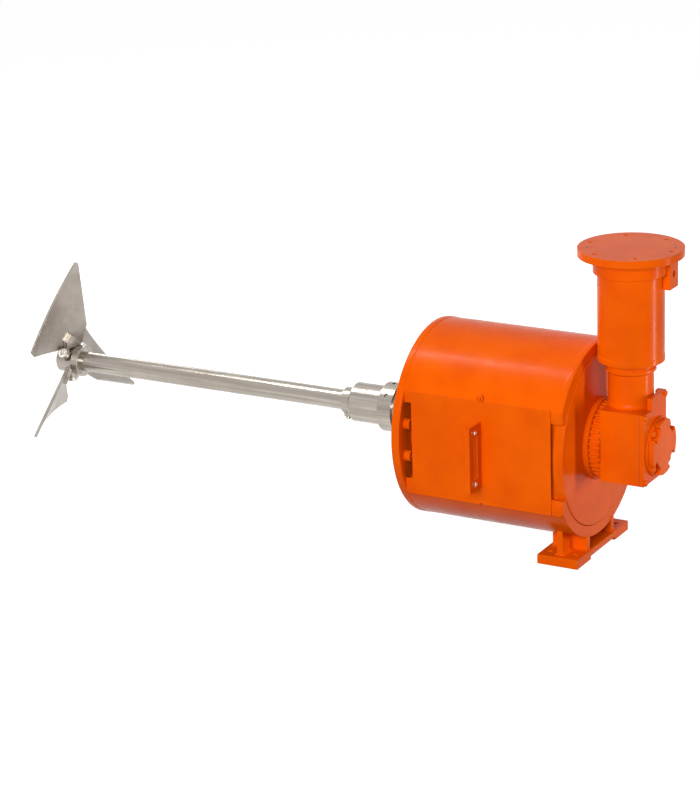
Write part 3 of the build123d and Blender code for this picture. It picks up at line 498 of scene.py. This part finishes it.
screwSet(hexScrew, coverScrew, "gearbox_cover_screws", "x", "frame", "painted_screws",
         "gearbox_cover_hex_screws")
screwSet(hexScrew, capScrew, "bearing_cap_screws", "x", "frame", "painted_screws",
         "bearing_cap_hex_screws")
screwSet(socketScrew, carrierScrew, "seal_carrier_screws", "-x", "frame", "stainless_screws",
         "seal_carrier_socket_screws")
for sideName in ("near", "far"):
    screwSet(socketScrew, handleScrew, sideName + "_handle_screws", "x", sideName + "_cover",
             "stainless_screws", sideName + "_handle_socket_screws")
for sideName, axis in (("near", "-y"), ("far", "y")):
    screwSet(clampWithWasher, clampScrew, sideName + "_clamp_screws", axis, sideName + "_cover",
             "painted_screws", sideName + "_clamp_socket_screws")
print("screws on their seats")

# propeller: big hub screws and the welds along the blade arms
propeller = {
    "bladeCount": 3,
    "bladeTurn": 10,          # degrees about the shaft
    "bladePitch": 58,         # degrees between chord and shaft
    "screwTurn": 55,
    "screwSeat": 46,          # mm from the axis to the boss top
    "hubScrew": {"headR": 12.4, "headH": 9.8, "shankR": 7.9, "shankL": 22, "headTop": 10},
    "weldPath": [(-17, 38), (-14, 58), (2, 74), (22, 60), (25, 38)],  # along the chord, out
    "weldR": 2.4,
    "weldFlat": 0.75,
    "weldLift": 0.6,
    "weldStep": 2.3,
}
screwLow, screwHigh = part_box("hub_screws")
hubX = (screwLow.x + screwHigh.x) / 2
bladeStep = 360 / propeller["bladeCount"]


def hubScrews():
    model = socketScrew(propeller["hubScrew"])
    copies = []
    for i in range(propeller["bladeCount"]):
        turn = Matrix.Rotation(math.radians(propeller["screwTurn"] + bladeStep * i), 4, "X")
        seat = Matrix.Translation((hubX, 0, propeller["screwSeat"] * mm))
        copies.append(copyAt(model, turn @ seat))
    removePiece(model)
    handOver(joinPieces(copies), "hub_socket_screws", "shaft", "stainless_screws",
             ("hub_screws",))


def weldRipple():
    # one frozen wave of a weld bead
    deselectAll()
    bpy.ops.mesh.primitive_uv_sphere_add(segments=10, ring_count=6,
                                         radius=propeller["weldR"] * mm)
    ripple = bpy.context.object
    bpy.ops.object.mode_set(mode="EDIT")
    bpy.ops.mesh.select_all(action="SELECT")
    bpy.ops.transform.resize(value=(1, 1, propeller["weldFlat"]))
    bpy.ops.object.mode_set(mode="OBJECT")
    return ripple


def walkPath(points, step):
    # places along straight runs, a step apart
    places = []
    for (x0, y0), (x1, y1) in zip(points, points[1:]):
        count = max(1, round(math.hypot(x1 - x0, y1 - y0) / step))
        places += [(x0 + (x1 - x0) * k / count, y0 + (y1 - y0) * k / count)
                   for k in range(count)]
    return places


def bladeWelds():
    pitch = math.radians(propeller["bladePitch"])
    chord = Vector((math.cos(pitch), math.sin(pitch), 0))
    normal = Vector((math.sin(pitch), -math.cos(pitch), 0))
    axes = Matrix((chord, (0, 0, 1), normal)).transposed().to_4x4()
    plane = Matrix.Translation((hubX, 0, 0)) @ axes
    ripple = weldRipple()
    copies = []
    for i in range(propeller["bladeCount"]):
        turn = Matrix.Rotation(math.radians(propeller["bladeTurn"] + bladeStep * i), 4, "X")
        for c, r in walkPath(propeller["weldPath"], propeller["weldStep"]):
            place = Matrix.Translation((c * mm, r * mm, propeller["weldLift"] * mm))
            copies.append(copyAt(ripple, turn @ plane @ place))
    removePiece(ripple)
    handOver(joinPieces(copies), "blade_weld_beads", "shaft", "satin_stainless")


hubScrews()
bladeWelds()

# shaft collar: clamping lug with its screw
lug = {
    "along": 16,
    "across": 26,
    "tall": 13,
    "lift": 1,
    "taper": (0.85, 0.8, 1),
    "edge": 1.6,
    "turn": 160,              # degrees about the shaft
    "screwSeat": 7.2,         # above the collar's rim
    "screw": {"headR": 5.6, "headH": 5.4, "shankR": 3.4, "shankL": 8},
}


def collarLug():
    low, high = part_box("shaft_collar")
    middle = (low + high) / 2
    radius = (high.z - low.z) / 2
    deselectAll()
    bpy.ops.mesh.primitive_cube_add(size=1, location=(middle.x, 0, radius + lug["lift"] * mm))
    block = bpy.context.object
    block.scale = (lug["along"] * mm, lug["across"] * mm, lug["tall"] * mm)
    applyPlace(block)
    selectFaces(block, lambda centre, normal: normal.z > 0.9)
    bpy.ops.transform.resize(value=lug["taper"], center_override=(middle.x, 0, radius))
    bpy.ops.object.mode_set(mode="OBJECT")
    softenEdges(block, lug["edge"], 3)
    screw = socketScrew(lug["screw"])
    screw.data.transform(Matrix.Translation((middle.x, 0, radius + lug["screwSeat"] * mm)))
    piece = joinPieces([block, screw])
    piece.data.transform(Matrix.Rotation(math.radians(lug["turn"]), 4, "X"))
    handOver(piece, "shaft_collar_lug", "shaft", "satin_stainless")


collarLug()

# drum: machined lands round both ends
lands = {
    "radius": 240,
    "rise": 0.7,
    "width": 17,
    "wall": 1.4,
    "edge": 0.4,
    "setBack": 0.6,           # of each land from the end of the drum
    "plateSetBack": 2,        # of the drum's drive end from the rear plate's outer face
    "windowPlane": 204.6,
}


def drumLand(name, x0, x1, cutWindows):
    # a thin turned band proud of the casting
    deselectAll()
    bpy.ops.mesh.primitive_cylinder_add(vertices=160, end_fill_type="NOTHING",
                                        radius=(lands["radius"] + lands["rise"]) * mm,
                                        depth=(x1 - x0) * mm,
                                        location=((x0 + x1) / 2 * mm, 0, 0),
                                        rotation=(0, math.radians(90), 0))
    band = bpy.context.object
    applyPlace(band)
    bpy.ops.object.mode_set(mode="EDIT")
    if cutWindows:
        for side in (-1, 1):
            bpy.ops.mesh.select_all(action="SELECT")
            bpy.ops.mesh.bisect(plane_co=(0, side * lands["windowPlane"] * mm, 0),
                                plane_no=(0, side, 0), clear_outer=True)
    bpy.ops.object.mode_set(mode="OBJECT")
    wall = band.modifiers.new("wall", "SOLIDIFY")
    wall.thickness = lands["wall"] * mm
    wall.offset = -1
    selectOnly(band)
    bpy.ops.object.modifier_apply(modifier=wall.name)
    softenEdges(band, lands["edge"], 2, 40)
    handOver(band, name, "frame", "orange_cast")


# drum: the casting's coves in the inner corners of the foot
foot = {
    "coveR": 8,
    "coveReach": 0.96,        # share of the cove's radius that the round takes
    "coveProfile": 0.08,      # hollow
    "coveUp": 50,
    "thickness": 23,
    "x0": 337, "x1": 442,
    "wallOut": 76, "wallX0": 345, "wallX1": 436,
    "rib": 14, "ribOut": 132,
}


def cove(corner, length, along, outA, outB):
    # cast fillet in an inner corner: outA and outB point away from the two walls
    radius = foot["coveR"] * mm
    deselectAll()
    bpy.ops.mesh.primitive_cube_add(size=1, location=(0.5, 0.5, 0.5))
    block = bpy.context.object
    applyPlace(block)
    selectEdges(block, lambda a, b: (a.x + b.x) / 2 > 0.9 and (a.y + b.y) / 2 > 0.9)
    bpy.ops.mesh.bevel(offset=foot["coveReach"], segments=7, profile=foot["coveProfile"],
                       affect="EDGES")
    bpy.ops.object.mode_set(mode="OBJECT")
    axes = Matrix((Vector(outA) * radius, Vector(outB) * radius, Vector(along) * length * mm))
    place = Matrix.Translation(Vector(corner) * mm)
    block.data.transform(place @ axes.transposed().to_4x4())
    if axes.determinant() < 0:
        block.data.flip_normals()
    return block


def footCoves():
    low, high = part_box("drum_housing")
    top = low.z / mm + foot["thickness"]
    ribX = (foot["x0"] + foot["x1"]) / 2
    ribHalf = foot["rib"] / 2
    parts = []
    for side in (-1, 1):
        y = side * foot["wallOut"]
        out = side * (foot["ribOut"] - foot["wallOut"])
        for x, run in ((foot["wallX0"], ribX - ribHalf - foot["wallX0"]),
                       (ribX + ribHalf, foot["wallX1"] - ribX - ribHalf)):
            parts.append(cove((x, y, top), run, (1, 0, 0), (0, side, 0), (0, 0, 1)))
        for direction in (-1, 1):
            corner = (ribX + direction * ribHalf, y, top)
            parts.append(cove(corner, abs(out), (0, side, 0), (direction, 0, 0), (0, 0, 1)))
            parts.append(cove(corner, foot["coveUp"], (0, 0, 1), (direction, 0, 0),
                              (0, side, 0)))
    handOver(joinPieces(parts), "foot_casting_coves", "frame", "orange_cast")


drumLand("tank_end_land", lands["setBack"], lands["width"], False)
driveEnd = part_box("rear_plate")[1].x / mm - lands["plateSetBack"]
drumLand("drive_end_land", driveEnd - lands["width"], driveEnd - lands["setBack"], True)
footCoves()

# motor flange: three small jacking screws between the bolt holes
jackingScrew = {
    "pcd": 205,
    "turns": (18, 33, 205),   # degrees about the flange's middle
    "sunk": 1.1,
    "sizes": {"headR": 3.6, "headH": 1.6, "shankR": 2.6, "shankL": 6},
}


def flangeScrews():
    low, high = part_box("motor_lantern")
    middle = (low + high) / 2
    model = socketScrew(jackingScrew["sizes"])
    radius = jackingScrew["pcd"] * mm / 2
    copies = []
    for degrees in jackingScrew["turns"]:
        angle = math.radians(degrees)
        place = (middle.x + radius * math.cos(angle), middle.y + radius * math.sin(angle),
                 high.z - jackingScrew["sunk"] * mm)
        copies.append(copyAt(model, Matrix.Translation(place)))
    removePiece(model)
    handOver(joinPieces(copies), "flange_jacking_screws", "frame", "coupling_iron")


flangeScrews()

# drum: cast pads at the corners of each window, beside the cover
windowPads = {
    "places": (((20, 38), (98, 124)), ((405, 431), (94, 124)),  # x and z of each near pad
               ((20, 38), (-134, -110)), ((405, 431), (-134, -106))),
    "back": 196,
    "front": 206.5,
    "corner": 6,
    "edge": 0.8,
}


def windowCornerPads():
    pads = []
    depth = windowPads["front"] - windowPads["back"]
    y = -(windowPads["back"] + depth / 2)
    for (x0, x1), (z0, z1) in windowPads["places"]:
        deselectAll()
        bpy.ops.mesh.primitive_cube_add(size=1,
                                        location=((x0 + x1) / 2 * mm, y * mm, (z0 + z1) / 2 * mm),
                                        scale=((x1 - x0) * mm, depth * mm, (z1 - z0) * mm))
        pad = bpy.context.object
        applyPlace(pad)
        selectEdges(pad, lambda a, b: abs(a.y - b.y) > depth * mm / 2)
        bpy.ops.mesh.bevel(offset=windowPads["corner"] * mm, segments=6)
        bpy.ops.object.mode_set(mode="OBJECT")
        softenEdges(pad, windowPads["edge"])
        pads.append(pad)
    near = joinPieces(pads)
    far = copyAt(near, Matrix.Rotation(math.pi, 4, "X"))
    handOver(near, "near_window_pads", "frame", "orange_cast")
    handOver(far, "far_window_pads", "frame", "orange_cast")


windowCornerPads()

# gearbox: a thin dark strip round the joint behind the cover plate, its dark colour painted shade
# for the shaded seam
seamStrip = {"x": 572, "thick": 1.0, "proud": 0.35, "box": ((-80, 50), (-78, 98)), "roundR": 74}


# colours of the seam strip: painted shade along the joint
seamShade = {"dark": "#6B2604", "light": "#9A3A06", "lumpMm": 5, "reliefMm": 0.2, "roughness": 0.6}


def seamShadeFinish(name):
    # dark, dull and slightly lumpy strip: its dark colour is painted shade for the seam between
    # cover and gearbox
    material, tree, shader, coords = newMaterial(name)
    lumps = addNode(tree, "ShaderNodeTexNoise",
                    {"Scale": 1000 / seamShade["lumpMm"], "Detail": 2.0}, {"Vector": coords})
    colour = addNode(tree, "ShaderNodeMix",
                     {"data_type": "RGBA", 6: srgb(seamShade["dark"]), 7: srgb(seamShade["light"])},
                     {0: lumps.outputs["Fac"]})
    relief = addNode(tree, "ShaderNodeBump",
                     {"Strength": 0.3, "Distance": seamShade["reliefMm"] * mm},
                     {"Height": lumps.outputs["Fac"]})
    tree.links.new(shader.inputs["Base Color"], colour.outputs[2])
    tree.links.new(shader.inputs["Normal"], relief.outputs["Normal"])
    shader.inputs["Roughness"].default_value = seamShade["roughness"]
    return material


def gearboxSeamStrip():
    (y0, y1), (z0, z1) = seamStrip["box"]
    proud = seamStrip["proud"]
    deselectAll()
    bpy.ops.mesh.primitive_cube_add(size=1,
                                    location=(seamStrip["x"] * mm, (y0 + y1) / 2 * mm,
                                              (z0 + z1) / 2 * mm),
                                    scale=(seamStrip["thick"] * mm, (y1 - y0 + 2 * proud) * mm,
                                           (z1 - z0 + 2 * proud) * mm))
    square = bpy.context.object
    applyPlace(square)
    softenEdges(square, proud)
    deselectAll()
    bpy.ops.mesh.primitive_cylinder_add(vertices=96, radius=(seamStrip["roundR"] + proud) * mm,
                                        depth=seamStrip["thick"] * mm,
                                        location=(seamStrip["x"] * mm, 0, 0),
                                        rotation=(0, math.radians(90), 0))
    disc = bpy.context.object
    applyPlace(disc)
    softenEdges(disc, proud)
    joint = handOver(joinPieces([square, disc]), "gearbox_seam_shade_strip", "frame", "orange_cast")
    # the strip's dark colour is painted shade along the seam
    joint.data.materials[0] = seamShadeFinish("painted seam shade")


gearboxSeamStrip()
print("pieces made")

studio = {
    "floorSize": 30,
    "floorGap": 0.002,
    "floorBounce": "#8E8E8E",  # what the floor throws back at the object
    "floorWhite": 0.9,  # to the eye the floor is this much plain white, with its shadows added
    "floorShadow": "#AAAAAA",
    "worldLevel": 0.2,
    "target": (-0.245, 0.0, 0.001),
    "azimuth": 29.51,
    "elevation": 18.59,
    "distance": 7.575,
    "rollDegrees": -1.82,
    "lensMm": 137.2,
    "lampAim": (0.1, 0, 0.05),
}
# name: place, size, watts
lamps = {
    "front_softbox": ((0.9, -3.7, 1.5), (2.4, 1.4), 144),
    "overhead_strip": ((-1.25, -0.1, 2.7), (0.22, 1.3), 36),
    "back_softbox": ((-3.3, 2.1, 1.2), (2.0, 1.2), 40),
    "low_side_strip": ((1.66, 0.37, -0.07), (0.1, 0.36), 8),
}


def seenDirectly(tree):
    # 1 for the eye, for mirror rays and for rays through glass
    path = addNode(tree, "ShaderNodeLightPath").outputs
    glossy = addNode(tree, "ShaderNodeMath", {"operation": "MAXIMUM"},
                     {0: path["Is Camera Ray"], 1: path["Is Glossy Ray"]})
    every = addNode(tree, "ShaderNodeMath", {"operation": "MAXIMUM"},
                    {0: glossy.outputs[0], 1: path["Is Transmission Ray"]})
    return every.outputs[0]


def makeFloor():
    bpy.ops.mesh.primitive_plane_add(size=studio["floorSize"],
                                     location=(0, 0, cadLow.z - studio["floorGap"]))
    floor = bpy.context.object
    floor.name = "studio_floor"
    material = bpy.data.materials.new("pale studio floor")
    material.use_nodes = True
    tree = material.node_tree
    tree.nodes.clear()
    plain = addNode(tree, "ShaderNodeBsdfDiffuse", {"Color": srgb(studio["floorBounce"])})
    shadow = addNode(tree, "ShaderNodeBsdfDiffuse", {"Color": srgb(studio["floorShadow"])})
    glow = addNode(tree, "ShaderNodeEmission",
                   {"Color": (1, 1, 1, 1), "Strength": studio["floorWhite"]})
    shown = addNode(tree, "ShaderNodeAddShader", links={0: shadow.outputs[0], 1: glow.outputs[0]})
    mix = addNode(tree, "ShaderNodeMixShader",
                  links={0: seenDirectly(tree), 1: plain.outputs[0], 2: shown.outputs[0]})
    addNode(tree, "ShaderNodeOutputMaterial", links={"Surface": mix.outputs[0]})
    floor.data.materials.append(material)


def makeWorld():
    world = bpy.data.worlds.new("soft studio")
    bpy.context.scene.world = world
    world.use_nodes = True
    tree = world.node_tree
    tree.nodes.clear()
    plain = addNode(tree, "ShaderNodeBackground", {"Color": (1, 1, 1, 1), "Strength": 1.0})
    soft = addNode(tree, "ShaderNodeBackground",
                   {"Color": (1, 1, 1, 1), "Strength": studio["worldLevel"]})
    mix = addNode(tree, "ShaderNodeMixShader",
                  links={0: seenDirectly(tree), 1: soft.outputs[0], 2: plain.outputs[0]})
    addNode(tree, "ShaderNodeOutputWorld", links={"Surface": mix.outputs[0]})


def areaLamp(name, place, size, watts):
    data = bpy.data.lights.new(name, "AREA")
    data.shape = "RECTANGLE"
    data.size, data.size_y = size
    data.energy = watts
    lamp = bpy.data.objects.new(name, data)
    bpy.context.scene.collection.objects.link(lamp)
    lamp.location = place
    lamp.visible_camera = False
    direction = Vector(studio["lampAim"]) - Vector(place)
    lamp.rotation_euler = direction.to_track_quat("-Z", "Y").to_euler()


def makeCamera():
    azimuth = math.radians(studio["azimuth"])
    elevation = math.radians(studio["elevation"])
    back = Vector((math.sin(azimuth) * math.cos(elevation),
                   -math.cos(azimuth) * math.cos(elevation), math.sin(elevation)))
    data = bpy.data.cameras.new("camera")
    data.lens = studio["lensMm"]
    camera = bpy.data.objects.new("camera", data)
    bpy.context.scene.collection.objects.link(camera)
    camera.rotation_mode = "QUATERNION"
    camera.location = Vector(studio["target"]) + back * studio["distance"]
    turn = (-back).to_track_quat("-Z", "Y").to_matrix()
    roll = Matrix.Rotation(math.radians(studio["rollDegrees"]), 3, "Z")
    camera.rotation_quaternion = (turn @ roll).to_quaternion()
    bpy.context.scene.camera = camera


makeFloor()
makeWorld()
for lampName, (place, size, watts) in lamps.items():
    areaLamp(lampName, place, size, watts)
makeCamera()
bpy.context.scene.view_settings.view_transform = "Standard"
print("studio ready")
